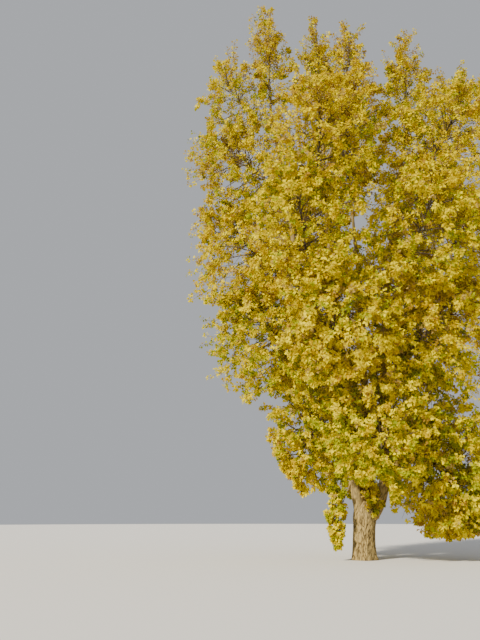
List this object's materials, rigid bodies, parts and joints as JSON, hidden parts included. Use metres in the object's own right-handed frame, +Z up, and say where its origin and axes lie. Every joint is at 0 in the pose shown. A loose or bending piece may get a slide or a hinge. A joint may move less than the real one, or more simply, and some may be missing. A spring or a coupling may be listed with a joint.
{
  "type": "poplar tree",
  "caption": "Broad upright poplar in yellow autumn leaf: a short stout trunk forks low into tall leaders whose foliage hangs almost to the ground and ends in open spires.",
  "frame": {"origin": "middle of the flat cut under the trunk, at ground level", "axes": "+Z up along the trunk; -Y is the side seen in the picture; +X is to the right in the picture"},
  "size_m": [13.0166, 11.4139, 23.4193],
  "materials": {
    "bark": "rough furrowed light grey-brown bark",
    "leaves": "matt autumn yellow leaves, from lemon and gold to olive green and tan"
  },
  "bodies": {
    "root": {"trunk": "bark", "leader_back": "bark", "leader_centre": "bark", "leader_left": "bark", "leader_right": "bark", "bough_low_back": "bark", "bough_low_front": "bark", "bough_low_hanging": "bark", "bough_low_left": "bark", "bough_low_right": "bark", "bough_lower_1": "bark", "bough_lower_2": "bark", "bough_lower_3": "bark", "bough_lower_4": "bark", "bough_lower_5": "bark", "bough_middle_1": "bark", "bough_middle_2": "bark", "bough_middle_3": "bark", "bough_middle_4": "bark", "bough_middle_5": "bark", "bough_middle_6": "bark", "bough_shoulder_1": "bark", "bough_shoulder_2": "bark", "bough_shoulder_3": "bark", "bough_spire_front": "bark", "bough_upper_1": "bark", "bough_upper_2": "bark", "bough_upper_3": "bark", "bough_upper_4": "bark", "bough_upper_5": "bark", "foliage_low_back": "leaves", "foliage_low_front": "leaves", "foliage_low_hanging": "leaves", "foliage_low_left": "leaves", "foliage_low_right": "leaves", "foliage_lower_1": "leaves", "foliage_lower_2": "leaves", "foliage_lower_3": "leaves", "foliage_lower_4": "leaves", "foliage_lower_5": "leaves", "foliage_middle_1": "leaves", "foliage_middle_2": "leaves", "foliage_middle_3": "leaves", "foliage_middle_4": "leaves", "foliage_middle_5": "leaves", "foliage_middle_6": "leaves", "foliage_shoulder_1": "leaves", "foliage_shoulder_2": "leaves", "foliage_shoulder_3": "leaves", "foliage_spire_back": "leaves", "foliage_spire_centre": "leaves", "foliage_spire_front": "leaves", "foliage_spire_left": "leaves", "foliage_spire_right": "leaves", "foliage_upper_1": "leaves", "foliage_upper_2": "leaves", "foliage_upper_3": "leaves", "foliage_upper_4": "leaves", "foliage_upper_5": "leaves"}
  },
  "joints": []
}
